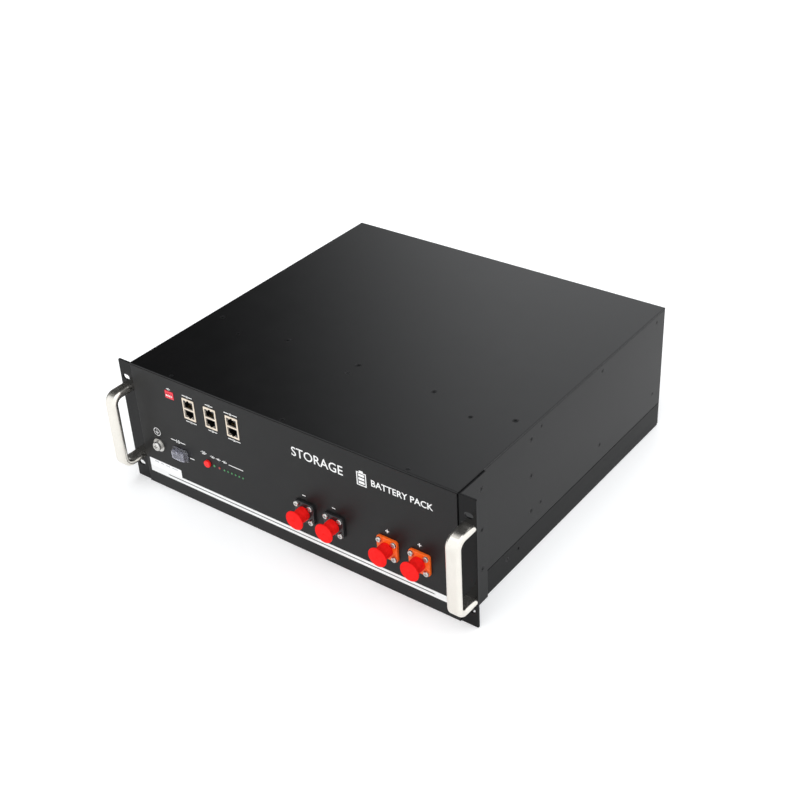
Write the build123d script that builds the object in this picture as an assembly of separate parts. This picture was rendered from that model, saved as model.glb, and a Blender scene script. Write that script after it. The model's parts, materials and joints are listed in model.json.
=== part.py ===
from build123d import *
import os

# A 48 V rack battery module: a folded steel case with a front panel, two bolted
# rack ears and bow handles, and a row of flat cells behind an inner partition.
# Frame: origin at the centre of the case's base, X to the right as seen from the
# front, Y to the rear, Z up. Millimetres.

# Case
case_width = 442.0
case_depth = 420.0
case_height = 161.0
sheet = 1.5                 # folded steel of the case
panel_thick = 2.0           # front panel
seam = 0.5                  # open joint between neighbouring sheets
fold_round = 0.9            # outer radius of the lid's and tray's folded edges
edge_round = 0.4            # deburred edges
nest = 0.1                  # gap between sheets that lie one inside the other
tray_wall_top = 32.3
lip_top = 62.0              # tray wall's inner lip, behind the side panels
lip_start = 29.5
flange_height = 20.0        # cover's folded edges
rear_return = 12.0          # side panel's folded rear edge
rear_screw_clear = 4.5      # from the rear folds to the ends of lips and cover edges
corner_relief = 0.7         # open gap between front panel and ears

# Rack ears and handles
ear_width = 20.3            # out from the case, 482.6 over both ears
ear_thick = 2.0
ear_setback = 1.5           # ear's face behind the panel's face
ear_flange = 45.7           # how far the ear reaches back along the side
ear_chamfer = 1.0
slot_out = 11.55            # slot centre from the case, 465.1 between both sides
slot_low = 20.0
slot_from_top = 23.5
slot_length = 10.3
slot_width = 6.8
handle_width = 16.5
handle_thick = 8.0
handle_reach = 29.5         # in front of the panel
handle_slot_gap = 5.6       # from a rack slot's edge to the handle
handle_bend = 14.0
handle_round = 3.7

# Fasteners
m3 = 1.5                    # shank radii
m4 = 2.0
m5 = 2.5
m3_head = 2.7
m4_head = 3.4
m5_head = 4.3
screw_gap = 0.1             # radial clearance of every screw
thread_depth = 7.0

# Inner partition and the screws that hold the case together
partition_back = 124.0      # wall's front face behind the panel's face
partition_fold = 15.0
partition_screw_in = 7.5    # from the wall to its screws
cover_screw_pitch = 101.0
cover_screws_across = 5
front_screw_pitch = 160.0
front_screw_back = 4.6
rear_edge = 4.2             # from case edge to rear screws
ear_screw_back = 37.0
ear_screw_low = 43.1
ear_screw_from_top = 18.7
side_screw_low = 54.4
side_screw_from_top = 10.4
partition_screw_from_top = 15.8
side_screw_first = 19.0     # behind the partition's screws
side_screw_last = 19.9      # ahead of the rear face
rear_screw_from_top = 14.7
rear_screw_mid = 47.2
rear_screw_low = 20.2
tray_screw_back = 85.3
tray_hole_back = 106.8
tray_screw_height = 20.9

# Front panel: the left group is placed from the case's left side, the terminals
# from its right side, what is high on the panel from its top
port_left = 86.6
port_pitch = 32.0
port_from_top = 32.6
port_width = 17.5
port_height = 26.5
port_proud = 0.6
socket_width = 12.0
socket_height = 7.2
socket_depth = 15.0
socket_base = 1.6           # from the port's middle to the socket
latch_width = 6.6
latch_rise = 1.5
latch_tip_width = 3.4
latch_tip_rise = 1.2
address_left = 58.1
address_from_top = 23.1
address_width = 12.4
address_height = 9.6
address_proud = 0.4
slider_count = 4
slider_pitch = 2.54
slider_width = 1.2
slider_height = 1.7
slider_travel = 2.0
slider_gap = 0.2
ground_left = 27.3
ground_height = 60.2
ground_head = 5.5
ground_head_tall = 4.0
ground_washer = 8.3
washer_thick = 1.2
lock_washer = 5.2
power_left = 61.1
power_height = 59.8
power_width = 21.0
power_tall = 14.0
power_depth = 16.0
rocker_length = 17.0
rocker_wide = 10.4
rocker_half_angle = 9.0
rocker_pivot_back = 2.0
pivot_radius = 1.2
running_gap = 0.05          # a pin in its bearing hole
boot_width = 24.0
boot_tall = 16.4
boot_proud = 6.2
boot_wall = 0.8
button_left = 103.8
button_height = 63.5
button_radius = 4.4
button_proud = 2.6
button_travel = 1.2
button_gap = 0.3
led_height = 63.9
run_led_left = 113.8
alarm_led_left = 121.6
charge_led_left = 129.0
charge_led_pitch = 5.5
charge_led_count = 6
big_led = 1.5
small_led = 1.1
led_gap = 0.1
cutout_gap = 0.3            # panel cut-outs around what stands in them

# Terminals
terminal_right = (197.0, 157.2, 87.5, 47.4)
terminal_height = 55.9
flange_size = 26.0
flange_round = 3.2
flange_thick = 3.0
terminal_screw_offset = 9.2
terminal_head = 3.2
terminal_head_tall = 2.4
barrel_radius = 6.8
barrel_bore = 5.2
barrel_reach = 7.2
boss_radius = 9.8
boss_depth = 12.0
pin_radius = 3.25
stud_radius = 4.0
stud_reach = 24.0
cap_radius = 11.4
cap_reach = 19.4            # in front of the panel
cap_rim = 1.4
cap_neck = 8.2
cap_gap = 0.3               # around and ahead of the barrel

# Conductors
bar_thick = 3.0
bar_width = 18.6
bar_back = 14.2             # terminal bars behind the panel's face

# Boards in the front bay
board_thick = 1.6
comm_board_back = 19.5
bms_board_back = 100.0
bms_board_low = 35.0
post_radius = 3.0
transistor_count = 10
sink_screw_back = 112.5

# Cell block
cell_count = 15
pad_thick = 0.6
end_plate = 5.0
end_plate_gap = 7.5         # end plate to the inside of the case wall
insulator = 1.2
band_thick = 0.8
band_width = 16.0
cell_top_space = 17.0
cell_front_gap = 23.5       # partition to the cells
cell_rear_gap = 6.0
cell_round = 2.0
tab_tall = 16.0
tab_wide = 14.0
tab_inset = 20.0
tab_reach = 4.0
link_thick = 2.0

left = -case_width / 2
right = case_width / 2
front = -case_depth / 2
back = case_depth / 2
inner_top = case_height - sheet
inner_side = right - sheet
panel_half = right - corner_relief
panel_top = inner_top - seam
lip_outer = inner_side - nest
lip_inner = lip_outer - sheet
fold_outer = lip_inner - nest
fold_inner = fold_outer - sheet
panel_rear = front + panel_thick
ear_front = front + ear_setback
ear_rear = ear_front + ear_thick
slot_high = case_height - slot_from_top
partition = front + partition_back
partition_screw_y = partition + partition_screw_in
port_z = case_height - port_from_top
rear_inner = back - sheet - nest
rear_fold = rear_inner - sheet
lip_end = rear_fold - rear_screw_clear

facing = {
    "+x": Rot(0, 90, 0),
    "-x": Rot(0, -90, 0),
    "+y": Rot(-90, 0, 0),
    "-y": Rot(90, 0, 0),
    "+z": Rot(0, 0, 0),
}


def block(x0, x1, y0, y1, z0, z1):
    # A box between two opposite corners
    size = Box(abs(x1 - x0), abs(y1 - y0), abs(z1 - z0))
    return Pos((x0 + x1) / 2, (y0 + y1) / 2, (z0 + z1) / 2) * size


def softened(body, toward, radius):
    # Rounds the edges of the face that looks furthest along an axis
    return fillet(body.faces().sort_by(toward)[-1].edges(), radius)


def rod(way, radius, start, end, across, up):
    # A cylinder along x, y or z; across and up are its other two coordinates
    middle = (start + end) / 2
    spots = {"x": (middle, across, up), "y": (across, middle, up), "z": (across, up, middle)}
    return Pos(*spots[way]) * facing["+" + way] * Cylinder(radius, abs(end - start))


def countersunk(shank, head, length, gap=0.0):
    # Flush screw that points down from its face at z = 0; with a gap, its seat
    depth = head - shank
    cone = Pos(0, 0, -depth / 2) * Cone(shank + gap, head + gap, depth)
    body = cone + Pos(0, 0, -length / 2) * Cylinder(shank + gap, length)
    return body - cross_recess(head, 0) if gap == 0 else body


def pan_head(shank, head, tall, length):
    # Screw whose head stands above z = 0
    cap = Pos(0, 0, tall / 2) * Cylinder(head, tall)
    cap = fillet(cap.edges().group_by(Axis.Z)[-1], tall * 0.4)
    return cap + Pos(0, 0, -length / 2) * Cylinder(shank, length) - cross_recess(head, tall)


def cross_recess(head, top):
    slot = Box(head * 1.1, head * 0.26, head * 0.5)
    return Pos(0, 0, top) * (slot + Rot(0, 0, 90) * slot)


def hexagon_nut(across_flats, thick, bore):
    return extrude(RegularPolygon(across_flats / 2, 6, major_radius=False), thick) - Cylinder(bore, 4 * thick)


def placed(shape, spots, way):
    # One copy of a fastener or its seat at each spot
    return [Pos(*spot) * facing[way] * shape for spot in spots]


def both_sides(spots):
    return spots + [(-x, y, z) for x, y, z in spots]


def mirrored(shape):
    return mirror(shape, Plane.YZ)


def between(first, last, count):
    return [first + (last - first) * i / (count - 1) for i in range(count)]


# Screw places, shared by the screws and every sheet they pass through
centred = [i - (cover_screws_across - 1) / 2 for i in range(cover_screws_across)]
cover_xs = [cover_screw_pitch * i for i in centred if abs(cover_screw_pitch * i) < right - 15]
front_xs = [front_screw_pitch * i for i in (-1, 0, 1)]
partition_zs = between(side_screw_low, case_height - partition_screw_from_top, 3)
ear_zs = between(ear_screw_low, case_height - ear_screw_from_top, 3)
rear_zs = between(rear_screw_mid, case_height - rear_screw_from_top, 3)
side_ys = between(partition_screw_y + side_screw_first, back - side_screw_last, 3)

partition_top_spots = [(x, partition_screw_y, case_height) for x in cover_xs]
front_top_spots = [(x, front + front_screw_back, case_height) for x in front_xs]
sink_spots = [(x, front + sink_screw_back, case_height) for x in front_xs]
cover_side_spots = [(right, y, case_height - side_screw_from_top) for y in side_ys]
tray_side_spots = [(right, y, side_screw_low) for y in side_ys]
partition_side_spots = [(right, partition_screw_y, z) for z in partition_zs]
ear_spots = [(right + ear_thick, front + ear_screw_back, z) for z in ear_zs]
tray_corner_spots = [(right, front + tray_screw_back, tray_screw_height)]
rear_top_spots = [(x, back, case_height - rear_edge) for x in cover_xs]
rear_side_spots = [(right - rear_edge, back, z) for z in rear_zs]
rear_low_spots = [(right - rear_edge, back, rear_screw_low)]
handle_low = slot_low + slot_width / 2 + handle_slot_gap
handle_high = slot_high - slot_width / 2 - handle_slot_gap
handle_leg_zs = (handle_low + handle_thick / 2, handle_high - handle_thick / 2)
ear_middle = right + slot_out
handle_spots = [(ear_middle, ear_rear, z) for z in handle_leg_zs]

m3_seat = countersunk(m3, m3_head, 2 * thread_depth, screw_gap)
m4_seat = countersunk(m4, m4_head, 2 * thread_depth, screw_gap)
m5_seat = countersunk(m5, m5_head, 2 * thread_depth, screw_gap)
m3_hole = Cylinder(m3 + screw_gap, 4 * thread_depth)
m3_screw = countersunk(m3, m3_head, thread_depth)
m4_screw = countersunk(m4, m4_head, thread_depth)
m5_screw = countersunk(m5, m5_head, thread_depth)
m3_pan = pan_head(m3, m3_head, 1.8, thread_depth)


def base_tray():
    # Floor, low outer walls, and lips that run up inside the side panels
    floor = block(left + edge_round, right - edge_round, panel_rear + nest, rear_inner, 0, sheet)
    wall = block(inner_side, right, panel_rear + nest, rear_inner, 0, tray_wall_top - seam)
    wall = softened(wall, Axis.X, edge_round)
    lip = block(lip_inner, lip_outer, panel_rear + 1, lip_end, lip_start, lip_top)
    step = block(lip_inner, inner_side + nest, panel_rear + 1, lip_end,
                 lip_start, tray_wall_top - seam)
    side = wall + lip + step
    rear = block(-lip_inner, lip_inner, rear_fold, rear_inner, 0, tray_wall_top - 1)
    tray = floor + side + mirrored(side) + rear
    lower = placed(m3_seat, tray_side_spots + tray_corner_spots, "+x")
    partition_low = placed(m4_seat, partition_side_spots[:1], "+x")
    low_ear = placed(m4_seat, ear_spots[:1], "+x")
    hole = [rod("x", m3, lip_inner - 2, right + 1, front + tray_hole_back, tray_screw_height)]
    cuts = lower + partition_low + low_ear + hole
    tray -= cuts + [mirrored(cut) for cut in cuts]
    tray -= placed(m3_hole, both_sides(rear_low_spots), "+y")
    return tray - placed(m3_hole, end_plate_spots, "+z")


def side_panel():
    # Right wall above the tray, folded inwards at the rear
    wall = block(inner_side, right, panel_rear + nest, rear_inner, tray_wall_top, inner_top - seam)
    wall = softened(wall, Axis.X, edge_round)
    fold = block(inner_side - rear_return, inner_side + nest, rear_fold, rear_inner,
                 tray_wall_top + 1, inner_top - 1)
    panel = wall + fold
    panel -= placed(m3_seat, cover_side_spots + tray_side_spots, "+x")
    panel -= placed(m4_seat, partition_side_spots + ear_spots, "+x")
    return panel - placed(m3_hole, rear_side_spots, "+y")


def rear_panel():
    plate = block(-right + nest, right - nest, back - sheet, back, sheet + nest, inner_top - seam)
    plate = softened(plate, Axis.Y, edge_round)
    return plate - placed(m3_hole, both_sides(rear_side_spots + rear_low_spots) + rear_top_spots, "+y")


def top_cover():
    # Flat lid with edges folded down inside the side and rear panels
    lid = softened(block(left, right, front + 0.3, back, inner_top, case_height), Axis.Z, fold_round)
    low = inner_top - flange_height
    edge = block(lip_inner, lip_outer, panel_rear + 1, lip_end, low, inner_top + nest)
    reach = inner_side - rear_return - 1
    rear = block(-reach, reach, rear_fold, rear_inner, low + 4, inner_top + nest)
    cover = lid + edge + mirrored(edge) + rear
    side_cuts = placed(m3_seat, cover_side_spots, "+x") + placed(m4_seat, partition_side_spots[2:], "+x")
    side_cuts += placed(m4_seat, ear_spots[2:], "+x")
    cover -= side_cuts + [mirrored(cut) for cut in side_cuts]
    cover -= placed(m4_seat, partition_top_spots, "+z")
    cover -= placed(m3_seat, front_top_spots + sink_spots, "+z")
    return cover - placed(m3_hole, rear_top_spots, "+y")


def folded_edge(start, end):
    # Side fold that lies inside the lip and the cover's edge, thickened between
    # them so that it meets the side panel
    low = lip_top + 1
    high = inner_top - flange_height - 1
    fold = block(fold_inner, fold_outer, start, end, 4, inner_top - 3)
    return fold + block(fold_inner, lip_outer, start, end, low, high)


def front_panel():
    plate = block(-panel_half, panel_half, front, panel_rear, 0, panel_top)
    plate = softened(plate, -Axis.Y, edge_round)
    top_fold = block(-fold_inner + 2, fold_inner - 2, panel_rear - nest, panel_rear + 14,
                     inner_top - nest - sheet, inner_top - nest)
    plate_join = block(-fold_inner + 2, fold_inner - 2, front + 1, panel_rear,
                       inner_top - nest - sheet, panel_top)
    side = folded_edge(panel_rear - nest, front + ear_flange) - placed(m4_seat, ear_spots, "+x")
    panel = plate + top_fold + plate_join + side + mirrored(side)
    panel -= placed(m3_seat, front_top_spots, "+z")
    for x in port_xs:
        panel -= cutout(x, port_z, port_width, port_height)
    panel -= cutout(address_x, address_z, address_width, address_height)
    panel -= cutout(power_x, power_height, power_width - 2, power_tall - 2)
    holes = [(m5 + screw_gap, ground_x, ground_height), (button_radius + button_gap, button_x, button_height)]
    holes += [(big_led + led_gap, x, led_height) for x in (run_led_x, alarm_led_x)]
    holes += [(small_led + led_gap, x, led_height) for x in charge_led_xs]
    holes += [(boss_radius + cutout_gap, x, terminal_height) for x in terminal_xs]
    holes += [(m3 + screw_gap, x, z) for x, y, z in terminal_screw_spots]
    return panel - [rod("y", radius, front - 1, panel_rear + 0.5, x, z) for radius, x, z in holes]


def cutout(x, z, width, height):
    return block(x - width / 2 - cutout_gap, x + width / 2 + cutout_gap, front - 1, panel_rear + 0.5,
                 z - height / 2 - cutout_gap, z + height / 2 + cutout_gap)


def inner_partition():
    # Wall between the front bay and the cells, with folds along top and sides
    wall = block(-fold_outer, fold_outer, partition, partition + sheet, sheet + 0.2, inner_top - nest)
    top = block(-fold_outer + 2, fold_outer - 2, partition, partition + partition_fold,
                inner_top - nest - sheet, inner_top - nest)
    side = folded_edge(partition, partition + partition_fold)
    side -= placed(m4_seat, partition_side_spots, "+x")
    body = wall + top + side + mirrored(side) - placed(m4_seat, partition_top_spots, "+z")
    for x, z in ((positive_lead_x, high_tab_z), (negative_lead_x, low_tab_z)):
        body -= block(x - 6, x + 6, partition - 1, partition + sheet + 1, z - 13, z + 13)
    return body - placed(Cylinder(m3 + screw_gap, 30), bms_post_spots, "+y")


def rack_ear():
    # Right ear: a slotted face plate and a flange screwed to the case's side
    outer = right + ear_width
    face = block(right, outer, ear_front, ear_rear, 0, panel_top)
    corners = [edge for edge in face.edges().filter_by(Axis.Y) if edge.center().X > outer - 1]
    face = softened(chamfer(corners, ear_chamfer), -Axis.Y, edge_round)
    flange = block(right, right + ear_thick, ear_front + 1, front + ear_flange, 0, panel_top)
    flange = softened(flange, Axis.X, edge_round)
    slot = extrude(Plane.XZ * SlotOverall(slot_length, slot_width), 2 * ear_thick, both=True)
    ear = face + flange - [Pos(ear_middle, ear_front, z) * slot for z in (slot_low, slot_high)]
    ear -= placed(m4_seat, ear_spots, "+x")
    return ear - placed(m5_seat, handle_spots, "+y")


def handle():
    # A flat bow: two legs and a front bar, bent from one rounded strap
    outer = handle_outline(handle_low, handle_high, front - handle_reach, handle_bend)
    inner = handle_outline(handle_low + handle_thick, handle_high - handle_thick,
                           front - handle_reach + handle_thick, handle_bend - handle_thick)
    strap = extrude(outer - inner, handle_width / 2, both=True)
    long_edges = [edge for edge in strap.edges() if abs(abs(edge.center().X) - handle_width / 2) < 0.01]
    bow = [edge for edge in long_edges if edge.center().Y < ear_front - 0.01]
    strap = Pos(ear_middle, 0, 0) * fillet(bow, handle_round)
    return strap - placed(m5_seat, handle_spots, "+y")


def handle_outline(low, high, reach, bend):
    # Rounded rectangle in the YZ plane, open behind the ear's face
    middle = (low + high) / 2
    form = RectangleRounded(2 * (ear_front - reach), high - low, bend)
    half = Pos(-(ear_front - reach), 0) * Rectangle(2 * (ear_front - reach), 2 * (high - low))
    return Plane.YZ * Pos(ear_front, middle) * (form & half)


def comm_port(x):
    # Two stacked modular sockets, latches outwards
    body = block(x - port_width / 2, x + port_width / 2, front - port_proud, front + comm_board_back,
                 port_z - port_height / 2, port_z + port_height / 2)
    body = fillet(body.edges().filter_by(Axis.Y), 0.8)
    for way in (1, -1):
        start = port_z + way * socket_base
        latch = start + way * socket_height
        tip = latch + way * latch_rise
        rear = front + socket_depth
        body -= block(x - socket_width / 2, x + socket_width / 2, front - 2, rear, start, latch)
        body -= block(x - latch_width / 2, x + latch_width / 2, front - 2, rear, start, tip)
        body -= block(x - latch_tip_width / 2, x + latch_tip_width / 2, front - 2, rear,
                      start, tip + way * latch_tip_rise)
    return body


def address_switch():
    # Switch block with one open groove for each slider
    body = block(address_x - address_width / 2, address_x + address_width / 2,
                 front - address_proud, front + comm_board_back,
                 address_z - address_height / 2, address_z + address_height / 2)
    for x in slider_xs:
        reach = (slider_height + slider_travel) / 2 + slider_gap
        body -= block(x - slider_width / 2 - slider_gap, x + slider_width / 2 + slider_gap,
                      front - 2, front + 2.5, address_z - reach, address_z + reach)
    return body


def address_slider(x):
    low = address_z - (slider_height + slider_travel) / 2
    body = block(x - slider_width / 2, x + slider_width / 2, front - address_proud - 0.8,
                 front + 2.5 - slider_gap, low, low + slider_height)
    return chamfer(body.faces().sort_by(Axis.Y)[0].edges(), 0.2)


def ground_bolt():
    seat = front - washer_thick * 2
    shape = pan_head(m5, ground_head, ground_head_tall, 12.0)
    return Pos(ground_x, seat, ground_height) * facing["-y"] * shape


def ground_washers():
    # Flat washer, lock washer and, behind the panel, the nut
    flat = rod("y", ground_washer, front - washer_thick, front, ground_x, ground_height)
    lock = rod("y", lock_washer, front - 2 * washer_thick, front - washer_thick, ground_x, ground_height)
    hole = rod("y", m5 + screw_gap, front - 5, front, ground_x, ground_height)
    nut = Pos(ground_x, panel_rear, ground_height) * facing["+y"] * hexagon_nut(8.0, 4.0, m5 + screw_gap)
    return [flat - hole, lock - hole, nut]


def power_switch():
    # Snap-in rocker housing with a flange, a rocker well and three blades
    flange = block(power_x - power_width / 2, power_x + power_width / 2, front - 1.2, front,
                   power_height - power_tall / 2, power_height + power_tall / 2)
    flange = fillet(flange.edges().filter_by(Axis.Y), 1.5)
    body = block(power_x - power_width / 2 + 1, power_x + power_width / 2 - 1, front, front + power_depth,
                 power_height - power_tall / 2 + 1, power_height + power_tall / 2 - 1)
    well = block(power_x - rocker_length / 2 - 0.6, power_x + rocker_length / 2 + 0.6, front - 2, front + 8,
                 power_height - rocker_wide / 2 - 0.3, power_height + rocker_wide / 2 + 0.3)
    pivot = rod("z", pivot_radius + running_gap, power_height - 6, power_height + 6,
                power_x, front + rocker_pivot_back)
    blades = [block(power_x + 6.5 * i - 0.4, power_x + 6.5 * i + 0.4, front + power_depth - 0.1,
                    front + power_depth + 2.5, power_height - 3, power_height + 3) for i in (-1, 0, 1)]
    return flange + body + blades - well - pivot


def power_rocker():
    # Rocker resting on its off side: a wide V face on a pivot pin
    half = rocker_length / 2
    outline = Polyline((-half, -2.4), (-half, 4.0), (0, 3.2), (half, 4.0), (half, -2.4), (2, -4.5),
                       (-2, -4.5), close=True)
    body = extrude(make_face(outline), rocker_wide / 2, both=True)
    body = fillet(body.edges().filter_by(Axis.Z).sort_by(Axis.Y)[-3:], 0.6)
    body += Cylinder(pivot_radius, 11.6)
    turned = Rot(0, 0, 180) * Rot(0, 0, -rocker_half_angle) * body
    return Pos(power_x, front + rocker_pivot_back, power_height) * turned


def power_switch_boot():
    # Soft clear cap, pushed over the switch's flange
    outer = block(power_x - boot_width / 2, power_x + boot_width / 2, front - boot_proud, front,
                  power_height - boot_tall / 2, power_height + boot_tall / 2)
    outer = fillet(outer.edges().filter_by(Axis.Y), 3.0)
    outer = fillet(outer.faces().sort_by(Axis.Y)[0].edges(), 1.8)
    inner = block(power_x - boot_width / 2 + boot_wall, power_x + boot_width / 2 - boot_wall,
                  front - boot_proud + boot_wall, front + 1,
                  power_height - boot_tall / 2 + boot_wall, power_height + boot_tall / 2 - boot_wall)
    inner = fillet(inner.edges().filter_by(Axis.Y), 2.2)
    return outer - inner


def start_button():
    # Push button kept in by a collar behind the panel
    stem = rod("y", button_radius, front - button_proud, front + 8, button_x, button_height)
    stem = fillet(stem.faces().sort_by(Axis.Y)[0].edges(), 0.8)
    collar = rod("y", button_radius + 1.2, panel_rear + button_gap, panel_rear + 1.3, button_x, button_height)
    return stem + collar


def light(x, radius):
    # Round-nosed light pipe from the board to the panel's face
    pipe = rod("y", radius, front - 0.6, front + comm_board_back, x, led_height)
    return fillet(pipe.faces().sort_by(Axis.Y)[0].edges(), 0.4)


def terminal(x):
    # Insulating housing: screwed flange, round barrel and a boss behind the panel
    square = RectangleRounded(flange_size, flange_size, flange_round)
    flange = Pos(x, front, terminal_height) * extrude(Plane.XZ * square, flange_thick)
    flange = fillet(flange.faces().sort_by(Axis.Y)[0].edges(), 0.6)
    tip = front - flange_thick - barrel_reach
    body = flange + rod("y", barrel_radius, tip, front, x, terminal_height)
    body += rod("y", boss_radius, front - 0.1, front + boss_depth, x, terminal_height)
    body -= rod("y", barrel_bore, tip - 1, front - 2, x, terminal_height)
    body -= rod("y", stud_radius + screw_gap, tip, front + boss_depth + 1, x, terminal_height)
    holes = [spot for spot in terminal_screw_spots if abs(spot[0] - x) < flange_size / 2]
    return body - [rod("y", m3 + screw_gap, front - 6, front + 1, sx, sz) for sx, sy, sz in holes]


def terminal_stud(x):
    # Contact pin in front, threaded stud and nut behind
    pin = rod("y", pin_radius, front - flange_thick - barrel_reach + 1, front - 2, x, terminal_height)
    pin = fillet(pin.faces().sort_by(Axis.Y)[0].edges(), 1.2)
    stud = pin + rod("y", stud_radius, front - 2, front + stud_reach, x, terminal_height)
    nut = hexagon_nut(13.0, 5.0, stud_radius + screw_gap)
    return [stud, Pos(x, front + bar_back + bar_thick, terminal_height) * facing["+y"] * nut]


def dust_cap(x):
    # Mushroom cap: a hollow neck over the barrel and a wide thin disc
    base = flange_thick + cap_gap
    under = flange_thick + barrel_reach + cap_gap
    bore = barrel_radius + cap_gap
    outline = Polyline((bore, base), (cap_neck, base), (cap_neck, cap_reach - cap_rim),
                       (cap_radius, cap_reach - cap_rim), (cap_radius, cap_reach), (0, cap_reach),
                       (0, under), (bore, under), close=True)
    body = revolve(make_face(outline), Axis.Y)
    rim = body.edges().filter_by(GeomType.CIRCLE).group_by(Axis.Y)[-1]
    body = fillet(rim, 0.4)
    return Pos(x, front, terminal_height) * Rot(0, 0, 180) * body


def comm_board():
    # Board behind the panel, with the button's switch and the ribbon's socket
    top = port_z + port_height / 2 + 6
    board = block(address_x - 16, charge_led_xs[-1] + 12, front + comm_board_back,
                  front + comm_board_back + board_thick, led_height - 12, top)
    switch = rod("y", 4.0, front + 8 + button_travel + 0.4, front + comm_board_back + 0.1,
                 button_x, button_height)
    socket = block(ribbon_x - 15, ribbon_x + 15, board_face, board_face + 6, ribbon_z - 3, ribbon_z + 3)
    joined = board + switch + socket
    slot = block(ribbon_x - 12.5, ribbon_x + 12.5, board_face + 2, board_face + 8, ribbon_z - 1, ribbon_z + 1)
    return joined - slot - placed(Cylinder(m3 + screw_gap, 20), comm_post_spots, "+y")


def board_posts():
    # Threaded pillars that hold both boards
    posts = [rod("y", post_radius, panel_rear, front + comm_board_back, x, z) for x, y, z in comm_post_spots]
    start = front + bms_board_back + board_thick
    return posts + [rod("y", post_radius, start, partition, x, z) for x, y, z in bms_post_spots]


def ribbon_cable():
    # Flat cable that sags a little between the two boards' sockets
    start = board_face + 2.2
    end = front + bms_board_back - 2.2
    middle = (start + end) / 2
    upper = ThreePointArc((start, ribbon_z + 0.4), (middle, ribbon_z - 1.1), (end, ribbon_z + 0.4))
    lower = ThreePointArc((start, ribbon_z - 0.4), (middle, ribbon_z - 1.9), (end, ribbon_z - 0.4))
    outline = upper + lower + Line(upper @ 0, lower @ 0) + Line(upper @ 1, lower @ 1)
    return Pos(ribbon_x, 0, 0) * extrude(Plane.YZ * make_face(outline), 12.0, both=True)


def bms_board():
    # Control board in front of the partition, with its large components
    face = front + bms_board_back
    reach = board_reach
    board = block(-reach, reach, face, face + board_thick, bms_board_low, sink_low + 12)
    board += block(ribbon_x - 15, ribbon_x + 15, face - 6, face + 0.1, ribbon_z - 3, ribbon_z + 3)
    for x, height in ((-60, 22), (-28, 22), (70, 30), (102, 30)):
        board += block(x - 13, x + 13, face - height, face + 0.1, sink_low - 46, sink_low - 14)
    for x in (-6, 12, 30):
        board += rod("y", 7.0, face - 25, face + 0.1, x, sink_low - 30)
    slot = block(ribbon_x - 12.5, ribbon_x + 12.5, face - 8, face - 2, ribbon_z - 1, ribbon_z + 1)
    return board - slot - placed(Cylinder(m3 + screw_gap, 20), bms_post_spots, "+y")


def power_transistors():
    # Row of flat packages between the board and the heat sink
    rear = front + bms_board_back + board_thick
    xs = between(-board_reach + 20, board_reach - 20, transistor_count)
    return [block(x - 7.5, x + 7.5, rear, rear + 4.4, sink_low - 8, sink_low + 11) for x in xs]


def heat_sink():
    # Finned bar that hands the transistors' heat to the cover
    start = front + bms_board_back + board_thick + 4.4
    bar = block(-sink_reach, sink_reach, start, partition - 1, sink_low, inner_top)
    for i in range(3):
        z = sink_low + 4 + 4.5 * i
        bar -= block(-sink_reach - 1, sink_reach + 1, start + 4, partition, z, z + 2.4)
    return bar - placed(m3_seat, sink_spots, "+z")


def battery_cell(x):
    # Flat cell on edge, two contact tabs on its front face
    body = block(x - cell_thick / 2, x + cell_thick / 2, cell_front, cell_rear, cell_low, cell_high)
    body = fillet(body.edges(), cell_round)
    for z in (low_tab_z, high_tab_z):
        body += block(x - tab_wide / 2, x + tab_wide / 2, cell_front - tab_reach, cell_front + 0.1,
                      z - tab_tall / 2, z + tab_tall / 2)
    return body


def cell_link(index):
    # Copper strap from one cell to the next, high and low in turn
    z = high_tab_z if index % 2 == 0 else low_tab_z
    return block(cell_xs[index] - tab_wide / 2, cell_xs[index + 1] + tab_wide / 2,
                 link_front, link_front + link_thick, z - tab_tall / 2 + 1, z + tab_tall / 2 - 1)


def end_plate_piece():
    # Plate at the right end of the cells, with a foot screwed to the floor
    plate = block(plate_inner, plate_outer, cell_front + 4, cell_rear - 4, cell_low, cell_high)
    foot = block(plate_outer - nest, foot_outer, cell_front + 4, cell_rear - 4, sheet, sheet + 3)
    reach = band_width / 2 + 0.5
    clear = plate_outer + 1.2
    body = plate + foot - placed(m3_hole, end_plate_spots, "+z")
    for y in band_ys:
        body -= block(plate_outer, clear, y - reach, y + reach, sheet - 1, sheet + 4)
        body -= block(plate_inner, clear, y - reach, y + reach, sheet - 1, cell_low)
    return body


def compression_band(y):
    # Flat steel hoop around the cells and both end plates
    gap = 0.1
    inner = block(-plate_outer - gap, plate_outer + gap, y - band_width, y + band_width,
                  cell_low - gap, cell_high + gap)
    reach = plate_outer + gap + band_thick
    outer = block(-reach, reach, y - band_width / 2, y + band_width / 2,
                  insulator_top, cell_high + gap + band_thick)
    return outer - inner


def insulator_sheets():
    low = block(-plate_inner, plate_inner, cell_front - 8, cell_rear, sheet, sheet + insulator)
    top = cell_high + band_thick + 0.1
    high = block(-plate_inner, plate_inner, cell_front, cell_rear, top, top + insulator)
    return [low, high]


def main_fuse():
    # Fuse on its insulating stand, blades to the front and rear
    x = positive_lead_x + bar_thick / 2
    body = block(x - 13, x + 11, fuse_front, fuse_rear, terminal_height - 13, terminal_height + 13)
    body = fillet(body.edges().filter_by(Axis.Y), 2.0)
    stand = block(x - 10, x + 8, fuse_front + 2, fuse_rear - 2, sheet, terminal_height - 12)
    blade = block(x, x + 2, fuse_front - 16, fuse_rear + 16, terminal_height - 8, terminal_height + 8)
    holes = [rod("x", m4 + screw_gap, x - 8, x + 8, y, terminal_height) for y in fuse_bolt_ys]
    return body + stand + blade - holes


def stud_holes(xs):
    start = front + bar_back
    return [rod("y", stud_radius + screw_gap, start - 1, start + 5, x, terminal_height) for x in xs]


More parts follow.
